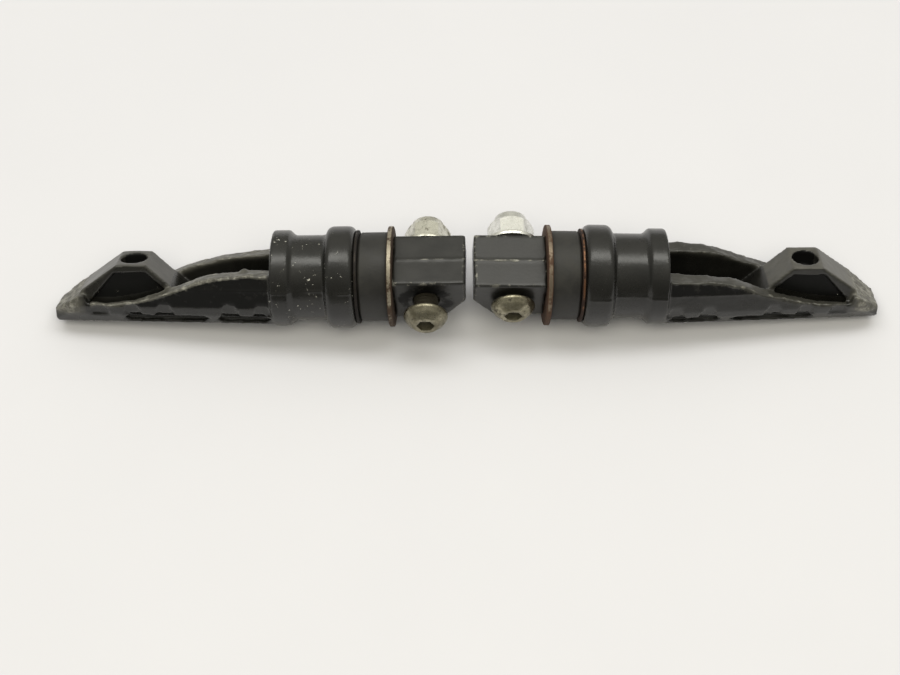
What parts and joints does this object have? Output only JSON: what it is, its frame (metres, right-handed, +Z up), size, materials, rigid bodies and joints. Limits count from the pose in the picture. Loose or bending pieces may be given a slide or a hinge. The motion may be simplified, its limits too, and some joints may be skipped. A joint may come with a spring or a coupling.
{
  "type": "pair of motorcycle footpegs",
  "caption": "Pair of used folding motorcycle footpegs lying tread down, with square hinge tongues, rubber damper bushes, pivot bolts and nuts.",
  "frame": {"origin": "middle of the bounding box on the bench the pair lies on", "axes": "+X along the pair towards the right peg's tip, +Y away from the viewer of the picture, +Z up"},
  "size_m": [0.2654, 0.0412, 0.0332],
  "materials": {
    "black_casting": "satin black paint, chipped and worn",
    "rusty_steel": "rusty",
    "rubber": "matte",
    "zinc_steel": "dull zinc plating",
    "bright_steel": "bright zinc plating"
  },
  "bodies": {
    "pegs": {"left_footpeg_casting": "black_casting", "left_hinge_block": "black_casting", "left_outer_washer": "rusty_steel", "left_inner_washer": "rusty_steel", "left_damper_bush": "rubber", "left_bush_collar": "zinc_steel", "left_clamp_washer": "zinc_steel", "left_clamp_screw": "zinc_steel", "right_footpeg_casting": "black_casting", "right_hinge_block": "black_casting", "right_outer_washer": "rusty_steel", "right_inner_washer": "rusty_steel", "right_damper_bush": "rubber", "right_bush_collar": "zinc_steel", "right_clamp_washer": "zinc_steel", "right_clamp_screw": "zinc_steel"},
    "left_bolt": {"left_pivot_bolt": "zinc_steel", "left_pivot_nut": "bright_steel"},
    "right_bolt": {"right_pivot_bolt": "zinc_steel", "right_pivot_nut": "bright_steel"}
  },
  "joints": [
    {"name": "left_pivot", "type": "hinge", "parent": "pegs", "child": "left_bolt", "pos_m": [-0.01303, -0.00134, 0.01764], "axis": [0.0152, 0.9995, -0.0261], "continuous": true},
    {"name": "right_pivot", "type": "hinge", "parent": "pegs", "child": "right_bolt", "pos_m": [0.01424, -0.00079, 0.01747], "axis": [-0.0132, 0.9981, 0.061], "continuous": true}
  ]
}
